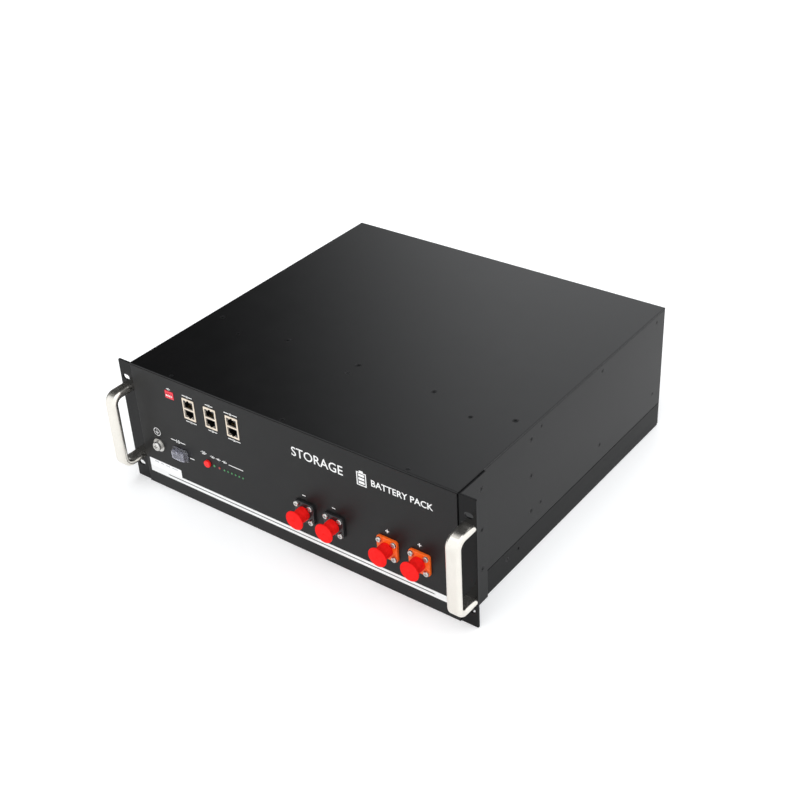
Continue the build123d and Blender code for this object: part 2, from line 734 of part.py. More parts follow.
def positive_bars():
    # Terminal bar to the fuse, and fuse to the last cell's upper tab
    x0 = positive_lead_x - bar_thick / 2
    x1 = positive_lead_x + bar_thick / 2
    low = terminal_height - bar_width / 2
    high = terminal_height + bar_width / 2
    start = front + bar_back
    ahead = block(terminal_xs[2] - 11, x1, start, start + bar_thick, low, high)
    ahead += block(x0, x1, start, fuse_front - 2, low, high)
    ahead -= stud_holes(terminal_xs[2:])
    behind = block(x0, x1, fuse_rear + 2, fuse_rear + 20, low, high_tab_z + bar_width / 2)
    behind += block(x0, x1, fuse_rear + 2, link_front + link_thick,
                    high_tab_z - bar_width / 2, high_tab_z + bar_width / 2)
    behind += block(cell_xs[-1] - tab_wide / 2, x1, link_front, link_front + link_thick,
                    high_tab_z - tab_tall / 2 + 1, high_tab_z + tab_tall / 2 - 1)
    bolt_holes = [rod("x", m4 + screw_gap, x0 - 5, x1 + 5, y, terminal_height) for y in fuse_bolt_ys]
    return [ahead - bolt_holes, behind - bolt_holes]


def negative_bars():
    # First cell's lower tab to the shunt, shunt to the board, board to the terminals
    x0 = negative_lead_x - bar_thick / 2
    x1 = negative_lead_x + bar_thick / 2
    low = low_tab_z - bar_width / 2
    high = low_tab_z + bar_width / 2
    face = front + bms_board_back
    lead = block(x0, cell_xs[0] + tab_wide / 2, link_front, link_front + link_thick,
                 low_tab_z - tab_tall / 2 + 1, low_tab_z + tab_tall / 2 - 1)
    lead += block(x0, x1, face - bar_thick, link_front + link_thick, low, high)
    lead += block(x0, shunt_left, face - bar_thick, face, low, high)
    riser = block(shunt_right, shunt_right + 22, face - bar_thick, face, low, bms_board_low + 8)
    start = front + bar_back
    ahead = block(terminal_xs[0] - 11, terminal_xs[1] + 11, start, start + bar_thick,
                  terminal_height - bar_width / 2, terminal_height + bar_width / 2)
    middle = (terminal_xs[0] + terminal_xs[1]) / 2
    ahead += block(middle - bar_thick / 2, middle + bar_thick / 2, start, face,
                   terminal_height - bar_width / 2, terminal_height + bar_width / 2)
    ahead += block(middle - bar_thick / 2, middle + 20, face - bar_thick, face,
                   terminal_height - bar_width / 2, terminal_height + bar_width / 2)
    ahead -= stud_holes(terminal_xs[:2])
    return [lead, riser, ahead]


def current_shunt():
    # Two copper ends joined by three resistance strips
    face = front + bms_board_back
    low = low_tab_z - bar_width / 2
    high = low_tab_z + bar_width / 2
    ends = block(shunt_left, shunt_left + 16, face - bar_thick, face, low, high)
    ends += block(shunt_right - 16, shunt_right, face - bar_thick, face, low, high)
    strips = [block(shunt_left + 15, shunt_right - 15, face - bar_thick + 1, face - 1, z - 2, z + 2)
              for z in between(low + 3, high - 3, 3)]
    return ends + strips


def busbar_bolts():
    # Bolts through the fuse blades and the positive bars
    x1 = positive_lead_x - bar_thick / 2
    bolt = pan_head(m4, 4.0, 3.0, 9.0)
    nut = hexagon_nut(7.0, 3.2, m4 + screw_gap)
    far = positive_lead_x + bar_thick / 2 + 2
    bolts = [Pos(x1, y, terminal_height) * facing["-x"] * bolt for y in fuse_bolt_ys]
    return bolts + [Pos(far, y, terminal_height) * facing["+x"] * nut for y in fuse_bolt_ys]


# Places on the front panel
port_xs = [left + port_left + port_pitch * i for i in range(3)]
address_x = left + address_left
address_z = case_height - address_from_top
slider_xs = [address_x + slider_pitch * (i - (slider_count - 1) / 2) for i in range(slider_count)]
ground_x = left + ground_left
power_x = left + power_left
button_x = left + button_left
run_led_x = left + run_led_left
alarm_led_x = left + alarm_led_left
charge_led_xs = [left + charge_led_left + charge_led_pitch * i for i in range(charge_led_count)]
terminal_xs = [right - gap for gap in terminal_right]
corners = [(i, j) for i in (-1, 1) for j in (-1, 1)]
out = terminal_screw_offset
terminal_screw_spots = [(x + out * i, front - flange_thick, terminal_height + out * j)
                        for x in terminal_xs for i, j in corners]

# Places inside the case
plate_outer = inner_side - end_plate_gap
plate_inner = plate_outer - end_plate
foot_outer = inner_side - 0.5
pads_total = pad_thick * (cell_count - 1)
cell_thick = (2 * plate_inner - pads_total) / cell_count
cell_pitch = cell_thick + pad_thick
cell_xs = [cell_pitch * (i - (cell_count - 1) / 2) for i in range(cell_count)]
insulator_top = sheet + insulator
cell_low = insulator_top + band_thick + 0.1
cell_high = inner_top - cell_top_space
cell_front = partition + sheet + cell_front_gap
cell_rear = rear_fold - cell_rear_gap
link_front = cell_front - tab_reach - link_thick
low_tab_z = cell_low + tab_inset
high_tab_z = cell_high - tab_inset
end_plate_ys = (cell_front + 20, cell_rear - 20)
end_plate_spots = both_sides([((plate_outer + foot_outer) / 2, y, sheet) for y in end_plate_ys])
band_ys = (cell_front + 60, cell_rear - 60)
positive_lead_x = cell_xs[-1] + tab_wide / 2
negative_lead_x = cell_xs[0] - tab_wide / 2
fuse_front = front + 54.0
fuse_rear = front + 92.0
fuse_bolt_ys = (fuse_front - 9, fuse_rear + 9)
shunt_left = -60.0
shunt_right = 12.0
board_face = front + comm_board_back + board_thick
ribbon_x = (port_xs[0] + port_xs[1]) / 2
ribbon_z = port_z - port_height / 2 - 12
sink_low = inner_top - 21.0
sink_reach = front_xs[-1] + 12
board_reach = sink_reach - 12
comm_post_spots = [(x, front, z) for x in (address_x - 11, charge_led_xs[-1] + 6)
                   for z in (led_height + 20, address_z + 8)]
bms_post_spots = [(x, front, z) for x in (-board_reach + 8, board_reach - 8)
                  for z in (bms_board_low + 8, sink_low - 14)]


def save(name, *solids):
    shape = solids[0] if len(solids) == 1 else Compound(children=list(solids))
    export_step(shape, f"parts/{name}.step")


os.makedirs("parts", exist_ok=True)

save("base_tray", base_tray())
right_wall = side_panel()
save("right_side_panel", right_wall)
save("left_side_panel", mirrored(right_wall))
save("rear_panel", rear_panel())
save("top_cover", top_cover())
save("front_panel", front_panel())
save("inner_partition", inner_partition())
right_ear = rack_ear()
save("right_rack_ear", right_ear)
save("left_rack_ear", mirrored(right_ear))
right_bow = handle()
save("right_handle", right_bow)
save("left_handle", mirrored(right_bow))

side_small = cover_side_spots + tray_side_spots
rights = placed(m3_screw, side_small, "+x") + placed(m4_screw, partition_side_spots, "+x")
save("side_screws", *rights, *[mirrored(screw) for screw in rights])
ears = placed(m4_screw, ear_spots, "+x")
save("ear_screws", *ears, *[mirrored(screw) for screw in ears])
save("cover_screws", *placed(m4_screw, partition_top_spots, "+z"),
     *placed(m3_screw, front_top_spots + sink_spots, "+z"))
save("rear_screws", *placed(m3_pan, both_sides(rear_side_spots + rear_low_spots) + rear_top_spots, "+y"))
tray_corners = placed(m3_screw, tray_corner_spots, "+x")
floor_spots = [(x, y, sheet + 3) for x, y, z in end_plate_spots]
floor_screw = pan_head(m3, 2.2, 1.8, sheet + 2.8)
save("tray_screws", *tray_corners, *[mirrored(screw) for screw in tray_corners],
     *placed(floor_screw, floor_spots, "+z"))
save("handle_screws", *placed(m5_screw, both_sides(handle_spots), "+y"))

for number, x in enumerate(port_xs, 1):
    save(f"comm_port_{number}", comm_port(x))
save("address_switch", address_switch())
for number, x in enumerate(slider_xs, 1):
    save(f"address_slider_{number}", address_slider(x))
save("ground_bolt", ground_bolt())
save("ground_washers", *ground_washers())
save("power_switch", power_switch())
save("power_rocker", power_rocker())
save("power_switch_boot", power_switch_boot())
save("start_button", start_button())
save("green_lights", light(run_led_x, big_led), *[light(x, small_led) for x in charge_led_xs])
save("alarm_light", light(alarm_led_x, big_led))

terminal_names = ("negative_terminal_1", "negative_terminal_2", "positive_terminal_1", "positive_terminal_2")
for name, x in zip(terminal_names, terminal_xs):
    save(name, terminal(x))
save("terminal_studs", *[piece for x in terminal_xs for piece in terminal_stud(x)])
terminal_screw = pan_head(m3, terminal_head, terminal_head_tall, 10.0)
save("terminal_screws", *placed(terminal_screw, terminal_screw_spots, "-y"))
for number, x in enumerate(terminal_xs, 1):
    save(f"dust_cap_{number}", dust_cap(x))

save("comm_board", comm_board())
save("board_posts", *board_posts())
save("ribbon_cable", ribbon_cable())
save("bms_board", bms_board())
save("power_transistors", *power_transistors())
save("heat_sink", heat_sink())
save("battery_cells", *[battery_cell(x) for x in cell_xs])
pad_xs = [x + cell_pitch / 2 for x in cell_xs[:-1]]
save("cell_pads", *[block(x - pad_thick / 2, x + pad_thick / 2, cell_front + 4, cell_rear - 4,
                          cell_low + 4, cell_high - 4) for x in pad_xs])
save("cell_links", *[cell_link(i) for i in range(cell_count - 1)])
right_plate = end_plate_piece()
save("end_plates", right_plate, mirrored(right_plate))
save("compression_bands", *[compression_band(y) for y in band_ys])
save("insulator_sheets", *insulator_sheets())
save("main_fuse", main_fuse())
save("current_shunt", current_shunt())
save("positive_bars", *positive_bars())
save("negative_bars", *negative_bars())
save("busbar_bolts", *busbar_bolts())
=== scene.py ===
import bmesh
import bpy
import json
import math
import numpy as np
from mathutils import Matrix, Vector


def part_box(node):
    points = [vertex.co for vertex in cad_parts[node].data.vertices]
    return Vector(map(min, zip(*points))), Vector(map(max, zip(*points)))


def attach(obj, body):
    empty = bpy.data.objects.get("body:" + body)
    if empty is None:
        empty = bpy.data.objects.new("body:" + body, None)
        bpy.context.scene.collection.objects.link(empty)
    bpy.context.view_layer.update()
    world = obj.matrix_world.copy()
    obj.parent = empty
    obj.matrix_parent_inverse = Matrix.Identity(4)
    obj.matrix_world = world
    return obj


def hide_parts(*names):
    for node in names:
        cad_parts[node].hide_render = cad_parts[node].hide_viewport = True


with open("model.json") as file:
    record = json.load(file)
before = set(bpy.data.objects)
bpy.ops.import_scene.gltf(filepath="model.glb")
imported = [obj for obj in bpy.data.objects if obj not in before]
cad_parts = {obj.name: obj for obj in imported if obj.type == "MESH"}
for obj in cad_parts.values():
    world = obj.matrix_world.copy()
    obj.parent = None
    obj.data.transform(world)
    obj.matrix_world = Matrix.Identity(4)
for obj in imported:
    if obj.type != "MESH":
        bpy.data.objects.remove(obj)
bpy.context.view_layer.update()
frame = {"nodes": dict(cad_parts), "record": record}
nodes = frame["nodes"]
print("frame loaded:", len(nodes), "nodes")

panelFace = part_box("front_panel")[0].y          # the panel's front plane


# materials
def startMaterial(name, colour, roughness, metallic=0.0):
    material = bpy.data.materials.new(name)
    material.use_nodes = True
    tree = material.node_tree
    shader = tree.nodes["Principled BSDF"]
    shader.inputs["Base Color"].default_value = (*colour, 1)
    shader.inputs["Roughness"].default_value = roughness
    shader.inputs["Metallic"].default_value = metallic
    return material, tree, shader


def noiseField(tree, size, detail=2.0):
    # Noise whose features are about size metres wide
    place = tree.nodes.new("ShaderNodeTexCoord")
    noise = tree.nodes.new("ShaderNodeTexNoise")
    noise.inputs["Scale"].default_value = 1.0 / size
    noise.inputs["Detail"].default_value = detail
    tree.links.new(place.outputs["Object"], noise.inputs["Vector"])
    return noise.outputs["Fac"]


def cellField(tree, size):
    # Rounded cells about size metres wide, as powder coat and moulded grain have
    place = tree.nodes.new("ShaderNodeTexCoord")
    cells = tree.nodes.new("ShaderNodeTexVoronoi")
    cells.feature = "SMOOTH_F1"
    cells.inputs["Scale"].default_value = 1.0 / size
    tree.links.new(place.outputs["Object"], cells.inputs["Vector"])
    return cells.outputs["Distance"]


def depthField(tree, mouth):
    # 0 in front of the plane y = mouth, 1 from a millimetre behind it
    place = tree.nodes.new("ShaderNodeTexCoord")
    split = tree.nodes.new("ShaderNodeSeparateXYZ")
    tree.links.new(place.outputs["Object"], split.inputs[0])
    reach = tree.nodes.new("ShaderNodeMapRange")
    reach.inputs["From Min"].default_value = mouth
    reach.inputs["From Max"].default_value = mouth + 0.001
    tree.links.new(split.outputs["Y"], reach.inputs["Value"])
    return reach.outputs["Result"]


def rampOf(tree, field, low, high, start=0.3, end=0.7):
    # Colour or grey that goes from low to high as the field goes from start to end
    ramp = tree.nodes.new("ShaderNodeValToRGB")
    ramp.color_ramp.elements[0].position = start
    ramp.color_ramp.elements[1].position = end
    for element, value in zip(ramp.color_ramp.elements, (low, high)):
        element.color = (*value, 1) if hasattr(value, "__len__") else (value, value, value, 1)
    tree.links.new(field, ramp.inputs["Fac"])
    return ramp.outputs["Color"]


def mixColours(tree, factor, first, second):
    mix = tree.nodes.new("ShaderNodeMix")
    mix.data_type = "RGBA"
    tree.links.new(factor, mix.inputs[0])
    for socket, value in ((mix.inputs[6], first), (mix.inputs[7], second)):
        if hasattr(value, "links"):
            tree.links.new(value, socket)
        else:
            socket.default_value = (*value, 1)
    return mix.outputs[2]


def bumpFrom(tree, field, height, below=None):
    # Bump of that height in metres, laid over the bump below it
    bump = tree.nodes.new("ShaderNodeBump")
    bump.inputs["Strength"].default_value = 1.0
    bump.inputs["Distance"].default_value = height
    tree.links.new(field, bump.inputs["Height"])
    if below is not None:
        tree.links.new(below, bump.inputs["Normal"])
    return bump.outputs["Normal"]


def edgeMask(tree, radius):
    # White where the surface turns within radius: how far the bevelled normal leaves the true one
    bevel = tree.nodes.new("ShaderNodeBevel")
    bevel.samples = 4
    bevel.inputs["Radius"].default_value = radius
    plain = tree.nodes.new("ShaderNodeNewGeometry")
    dot = tree.nodes.new("ShaderNodeVectorMath")
    dot.operation = "DOT_PRODUCT"
    tree.links.new(bevel.outputs["Normal"], dot.inputs[0])
    tree.links.new(plain.outputs["Normal"], dot.inputs[1])
    return rampOf(tree, dot.outputs["Value"], 1.0, 0.0, 0.75, 0.98)


def powderCoat(name, look):
    # Black baked powder: fine cells over a slow orange peel, with a painted highlight along the edges,
    # broken into patches
    material, tree, shader = startMaterial(name, look["colour"], look["roughness"])
    mottle = rampOf(tree, noiseField(tree, 0.018, 4.0), look["colour"], look["pale"])
    # painted highlight: paler colour where the surface turns at an edge, in noisy patches
    edgeHighlight = edgeMask(tree, 0.0006)
    patches = rampOf(tree, noiseField(tree, 0.006, 5.0), 0.0, look["wear"], 0.42, 0.72)
    highlightMask = tree.nodes.new("ShaderNodeMath")
    highlightMask.operation = "MULTIPLY"
    tree.links.new(edgeHighlight, highlightMask.inputs[0])
    tree.links.new(patches, highlightMask.inputs[1])
    tree.links.new(mixColours(tree, highlightMask.outputs[0], mottle, look["edgeHighlight"]), shader.inputs["Base Color"])
    rough = look["roughness"]
    tree.links.new(rampOf(tree, noiseField(tree, 0.03, 5.0), rough - 0.015, rough + 0.02),
                   shader.inputs["Roughness"])
    shader.inputs["Specular IOR Level"].default_value = look["specular"]
    shader.inputs["IOR"].default_value = look["ior"]
    peel = bumpFrom(tree, noiseField(tree, 0.0022, 2.0), look["peel"])
    grain = bumpFrom(tree, cellField(tree, look["grain"]), look["height"], peel)
    tree.links.new(grain, shader.inputs["Normal"])
    return material


def satinMetal(name, look):
    # Satin metal: fine scratches over a soft cloudiness
    material, tree, shader = startMaterial(name, look["colour"], look["roughness"], 1.0)
    cloud = rampOf(tree, noiseField(tree, 0.012, 3.0), look["colour"], look["dull"])
    tree.links.new(cloud, shader.inputs["Base Color"])
    scratches = noiseField(tree, look["grain"], 3.0)
    gloss = rampOf(tree, scratches, look["roughness"] - 0.03, look["roughness"] + 0.05)
    tree.links.new(gloss, shader.inputs["Roughness"])
    tree.links.new(bumpFrom(tree, scratches, look["height"]), shader.inputs["Normal"])
    return material


def mouldedPlastic(name, look):
    # Moulded surface: faint colour drift and fine grain, painted shade behind a mouth, with a clear coat if
    # asked
    material, tree, shader = startMaterial(name, look["colour"], look["roughness"])
    pale = tuple(min(1.0, part * 1.12 + 0.004) for part in look["colour"])
    drift = rampOf(tree, noiseField(tree, 0.004, 3.0), look["colour"], pale)
    # painted shade: the colour turns to the given dark one behind the mouth plane
    if "inside" in look:
        drift = mixColours(tree, depthField(tree, look["mouth"]), drift, look["inside"])
    tree.links.new(drift, shader.inputs["Base Color"])
    shader.inputs["Specular IOR Level"].default_value = look.get("specular", 0.5)
    gloss = rampOf(tree, noiseField(tree, 0.0025, 4.0), look["roughness"] - 0.04, look["roughness"] + 0.06)
    tree.links.new(gloss, shader.inputs["Roughness"])
    tree.links.new(bumpFrom(tree, cellField(tree, look["grain"]), look["height"]), shader.inputs["Normal"])
    shader.inputs["Coat Weight"].default_value = look.get("coat", 0.0)
    return material


def clearPlastic(name, look):
    # Smoky soft plastic that light passes through
    material, tree, shader = startMaterial(name, look["colour"], look["roughness"])
    shader.inputs["Transmission Weight"].default_value = look["clear"]
    shader.inputs["IOR"].default_value = 1.43
    gloss = rampOf(tree, noiseField(tree, 0.003, 3.0), look["roughness"] - 0.04, look["roughness"] + 0.06)
    tree.links.new(gloss, shader.inputs["Roughness"])
    tree.links.new(bumpFrom(tree, noiseField(tree, 0.0012, 2.0), look["height"]), shader.inputs["Normal"])
    return material


def printedInk(name, colour):
    # Screen print: slightly uneven cover and a matt face
    material, tree, shader = startMaterial(name, colour, 0.55)
    thin = tuple(part * 0.9 for part in colour)
    tree.links.new(rampOf(tree, noiseField(tree, 0.0006, 3.0), thin, colour), shader.inputs["Base Color"])
    tree.links.new(bumpFrom(tree, noiseField(tree, 0.0003, 2.0), 0.00001), shader.inputs["Normal"])
    return material


# the pale grey for the edges is a painted highlight along the case's edges, and its strength sets how much
# of it shows
paint = {"colour": (0.0036, 0.0036, 0.0038), "pale": (0.0044, 0.0044, 0.0046), "edgeHighlight": (0.10, 0.10, 0.104),
         "roughness": 0.20, "specular": 0.13, "ior": 1.5, "wear": 0.4, "peel": 0.000012, "grain": 0.0007,
         "height": 0.000010}
steel = {"colour": (0.72, 0.71, 0.69), "dull": (0.52, 0.51, 0.49), "roughness": 0.3, "grain": 0.0004,
         "height": 0.000006}
plastic = {"roughness": 0.4, "grain": 0.0004, "height": 0.000008}


def coat(name, **changes):
    return powderCoat(name, {**paint, **changes})


def metal(name, **changes):
    return satinMetal(name, {**steel, **changes})


def moulded(name, colour, **changes):
    return mouldedPlastic(name, {**plastic, "colour": colour, **changes})


finishes = {
    "case_paint": coat("case_paint"),
    # lit and shaded copies of the case paint: the cover's reflects more, the tray's less
    "cover_paint_lit": coat("cover_paint_lit", specular=0.28),
    "tray_paint_shaded": coat("tray_paint_shaded", ior=1.32),
    "front_paint": coat("front_paint", roughness=0.42, specular=0.26),
    "ear_paint": coat("ear_paint"),
    # the screws get a stronger painted highlight along their edges
    "black_screws": coat("black_screws", roughness=0.34, grain=0.0003, wear=0.8),
    "inner_steel": metal("inner_steel", colour=(0.55, 0.56, 0.58), grain=0.004),
    "handle_metal": metal("handle_metal", colour=(0.79, 0.76, 0.70), dull=(0.76, 0.73, 0.67), roughness=0.25,
                          grain=0.0003, height=0.0000002),
    "bright_screws": metal("bright_screws"),
    "tin_copper": metal("tin_copper", colour=(0.74, 0.71, 0.66)),
    "copper": metal("copper", colour=(0.78, 0.36, 0.20), dull=(0.55, 0.24, 0.13)),
    # painted shade: the port plastic is nearly black inside the openings, behind the mouth plane
    "port_plastic": moulded("port_plastic", (0.72, 0.62, 0.50), roughness=0.42, inside=(0.004, 0.004, 0.004),
                            mouth=panelFace - 0.0006),
    "switch_red": moulded("switch_red", (0.74, 0.022, 0.045)),
    "slider_white": moulded("slider_white", (0.86, 0.86, 0.84)),
    "switch_black": moulded("switch_black", (0.02, 0.02, 0.022)),
    "rocker_black": moulded("rocker_black", (0.018, 0.018, 0.02), roughness=0.3),
    "boot_clear": clearPlastic("boot_clear", {"colour": (0.84, 0.84, 0.95), "roughness": 0.07, "clear": 0.93,
                                              "height": 0.00004}),
    "button_red": moulded("button_red", (0.90, 0.012, 0.012), specular=0.3),
    "light_green": moulded("light_green", (0.03, 0.22, 0.06), coat=0.5),
    "light_red": moulded("light_red", (0.30, 0.012, 0.012), coat=0.5),
    "terminal_black": moulded("terminal_black", (0.012, 0.012, 0.013), roughness=0.36),
    "terminal_orange": moulded("terminal_orange", (0.92, 0.125, 0.008), specular=0.35),
    "cap_red": moulded("cap_red", (0.80, 0.006, 0.005), roughness=0.6, specular=0.12),
    "board_green": moulded("board_green", (0.01, 0.12, 0.04)),
    "ribbon_grey": moulded("ribbon_grey", (0.35, 0.36, 0.38)),
    "package_black": moulded("package_black", (0.015, 0.015, 0.016)),
    "cell_wrap": moulded("cell_wrap", (0.02, 0.09, 0.33), coat=0.4),
    "pad_foam": moulded("pad_foam", (0.05, 0.05, 0.055), roughness=0.8),
    "insulator": moulded("insulator", (0.62, 0.58, 0.44), roughness=0.7),
    "fuse_body": moulded("fuse_body", (0.72, 0.71, 0.66)),
}
inkWhite = printedInk("ink_white", (0.86, 0.86, 0.85))
inkGrey = printedInk("ink_grey", (0.30, 0.30, 0.31))
paperWhite = printedInk("paper_white", (0.93, 0.93, 0.93))
contactGold = metal("contact_gold", colour=(0.42, 0.28, 0.11), dull=(0.3, 0.19, 0.07))

# painted light: the cover gets a copy of the paint that reflects more, so the top reads lighter, and the
# tray a copy that reflects less, as painted shade low on the sides
lightShadeCopy = {"top_cover": "cover_paint_lit", "base_tray": "tray_paint_shaded"}
for part in frame["record"]["subparts"]:
    piece = nodes[part["node"]]
    finish = finishes[lightShadeCopy.get(part["node"], part["material_slot"])]
    piece.data.materials.clear()
    piece.data.materials.append(finish)
    piece.data.polygons.foreach_set("material_index", np.zeros(len(piece.data.polygons), np.int32))
print("materials:", len(bpy.data.materials))


# mesh helpers
def makePiece(name, parts, material, body, smoothAngle=30.0):
    # One mesh from several (points, faces) parts, doubles merged, faces outwards
    grids = [np.asarray(grid, float).reshape(-1, 3) for grid, _ in parts]
    points = np.concatenate(grids)
    starts = np.cumsum([0] + [len(grid) for grid in grids[:-1]])
    faces = [tuple(int(i) + int(start) for i in face)
             for (_, partFaces), start in zip(parts, starts) for face in partFaces]
    mesh = bpy.data.meshes.new(name)
    mesh.from_pydata(points.tolist(), [], faces)
    work = bmesh.new()
    work.from_mesh(mesh)
    bmesh.ops.remove_doubles(work, verts=work.verts, dist=1e-7)
    bmesh.ops.recalc_face_normals(work, faces=work.faces)
    work.to_mesh(mesh)
    work.free()
    mesh.polygons.foreach_set("use_smooth", np.ones(len(mesh.polygons), bool))
    mesh.set_sharp_from_angle(angle=math.radians(smoothAngle))
    mesh.materials.append(material)
    piece = bpy.data.objects.new(name, mesh)
    bpy.context.scene.collection.objects.link(piece)
    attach(piece, body)
    return piece


def gridFaces(rows, columns):
    # Quads between neighbouring rows of a grid of points, with the last column joined to the first
    i, j = np.meshgrid(np.arange(rows - 1), np.arange(columns), indexing="ij")
    k = (j + 1) % columns
    quads = np.stack([i * columns + j, i * columns + k, (i + 1) * columns + k, (i + 1) * columns + j], -1)
    return [tuple(quad) for quad in quads.reshape(-1, 4)]


def lathe(profile, x, z, steps=72):
    # Surface of revolution about a line along Y: radius and y of the profile, turned by an angle
    radius, y = np.array(profile, float).T
    angle = np.linspace(0, 2 * math.pi, steps, endpoint=False)
    points = np.stack([x + radius[:, None] * np.cos(angle), np.repeat(y[:, None], steps, 1),
                       z + radius[:, None] * np.sin(angle)], -1)
    faces = gridFaces(len(radius), steps)
    ends = [tuple(range(steps)), tuple(range((len(radius) - 1) * steps, len(radius) * steps))]
    closed = [end for end, r in zip(ends, (radius[0], radius[-1])) if r > 1e-6]
    return points.reshape(-1, 3), faces + closed


def roundCorners(points, radii, steps=5):
    # Replaces each corner of a polyline by an arc tangent to both sides
    made = [points[0]]
    for before, corner, after, radius in zip(points[:-2], points[1:-1], points[2:], radii):
        corner = np.array(corner, float)
        back = np.array(before, float) - corner
        ahead = np.array(after, float) - corner
        back /= np.linalg.norm(back)
        ahead /= np.linalg.norm(ahead)
        half = math.acos(max(-1, min(1, float(back @ ahead)))) / 2
        if half > 1.5:
            # nearly straight, so no arc
            made.append(tuple(corner))
            continue
        middle = corner + (back + ahead) / np.linalg.norm(back + ahead) * radius / math.sin(half)
        first = corner + back * radius / math.tan(half) - middle
        last = corner + ahead * radius / math.tan(half) - middle
        turn = math.pi - 2 * half
        for t in np.linspace(0, 1, steps):
            # between the two tangent points, at equal steps of angle about the arc's middle
            spot = (math.sin((1 - t) * turn) * first + math.sin(t * turn) * last) / math.sin(turn)
            made.append(tuple(middle + spot))
    return made + [points[-1]]


def plate(outline, yFront, yBack):
    # Flat plate: an outline of (x, z) points at the front depth, the same at the back, joined by quads
    ring = np.array(outline, float)
    count = len(ring)
    front = np.stack([ring[:, 0], np.full(count, yFront), ring[:, 1]], -1)
    rear = np.stack([ring[:, 0], np.full(count, yBack), ring[:, 1]], -1)
    faces = [tuple(range(count)), tuple(range(2 * count - 1, count - 1, -1))]
    return np.concatenate([front, rear]), faces + gridFaces(2, count)


def ringPlate(x, z, outer, inner, yFront, yBack, steps=48):
    # Flat washer-like ring: four circles joined by quads
    profile = [(inner, yBack), (inner, yFront), (outer, yFront), (outer, yBack), (inner, yBack)]
    return lathe(profile, x, z, steps)[0], gridFaces(5, steps)


def bar(x0, x1, z0, z1, yFront, yBack):
    # Flat upright rectangle between two depths
    return plate([(x0, z0), (x1, z0), (x1, z1), (x0, z1)], yFront, yBack)


def letters(words, height, z, yFront, thick, bold, span):
    # Text as closed flat letters that face -Y, base line at z, widened or narrowed to fill the span of x
    curve = bpy.data.curves.new("letters", "FONT")
    curve.body = words
    curve.size = height * 1.36
    curve.extrude = thick / 2
    curve.offset = bold
    curve.resolution_u = 3
    text = bpy.data.objects.new("letters", curve)
    bpy.context.scene.collection.objects.link(text)
    bpy.context.view_layer.update()
    mesh = bpy.data.meshes.new_from_object(text)
    flat = np.zeros(len(mesh.vertices) * 3)
    mesh.vertices.foreach_get("co", flat)
    flat = flat.reshape(-1, 3)
    faces = [tuple(polygon.vertices) for polygon in mesh.polygons]
    bpy.data.objects.remove(text)
    bpy.data.curves.remove(curve)
    bpy.data.meshes.remove(mesh)
    start, end = flat[:, 0].min(), flat[:, 0].max()
    across = span[0] + (flat[:, 0] - start) * (span[1] - span[0]) / (end - start)
    return np.stack([across, yFront + thick / 2 - flat[:, 2], flat[:, 1] + z], -1), faces


# front print
printing = {"lift": 0.00004, "thick": 0.00003, "bandLow": 0.0168, "bandHigh": 0.0250, "gapLow": 0.0204,
            "gapHigh": 0.0216, "bandLeft": -0.2150, "bandRight": 0.2160, "gapLeft": -0.1855,
            "gapRight": 0.1885, "slant": 0.0022, "poleHeight": 0.0766, "poleReach": 0.0023,
            "poleHalf": 0.0005, "poleSigns": ((0.0236, "-"), (0.0637, "-"), (0.1331, "+"), (0.1733, "+")),
            "weight": 0.00012, "numberWide": 1.2, "dashHalf": 0.0005, "dashGap": 0.0006}
# words, letter height, base line, left end, right end and weight
titles = [("STORAGE", 0.0118, 0.1247, 0.0125, 0.0805, 0.0001),
          ("BATTERY PACK", 0.0080, 0.1266, 0.1167, 0.1920, 0.00015)]
# number, its height, middle and base line, and the width of its strip
labels = [("10", 0.0044, -0.1612, 0.0742, 0.0225), ("20", 0.0042, -0.1218, 0.0742, 0.0086),
          ("30", 0.0030, -0.1084, 0.0738, 0.0070), ("40", 0.0030, -0.0998, 0.0738, 0.0070),
          ("50", 0.0030, -0.0905, 0.0738, 0.0070), ("60", 0.0026, -0.1634, 0.1440, 0.0060),
          ("01", 0.0026, -0.1350, 0.1434, 0.0150), ("02", 0.0026, -0.1024, 0.1434, 0.0110),
          ("03", 0.0026, -0.0710, 0.1434, 0.0190), ("04", 0.0026, -0.1340, 0.1104, 0.0160),
          ("05", 0.0026, -0.1018, 0.1104, 0.0130), ("06", 0.0026, -0.0700, 0.1104, 0.0180)]
# left, right, bottom and top of the plain dashes beside the lights and the switch
dashes = [(-0.0843, -0.0630, 0.0737, 0.0747), (-0.1455, -0.1388, 0.0592, 0.0604)]


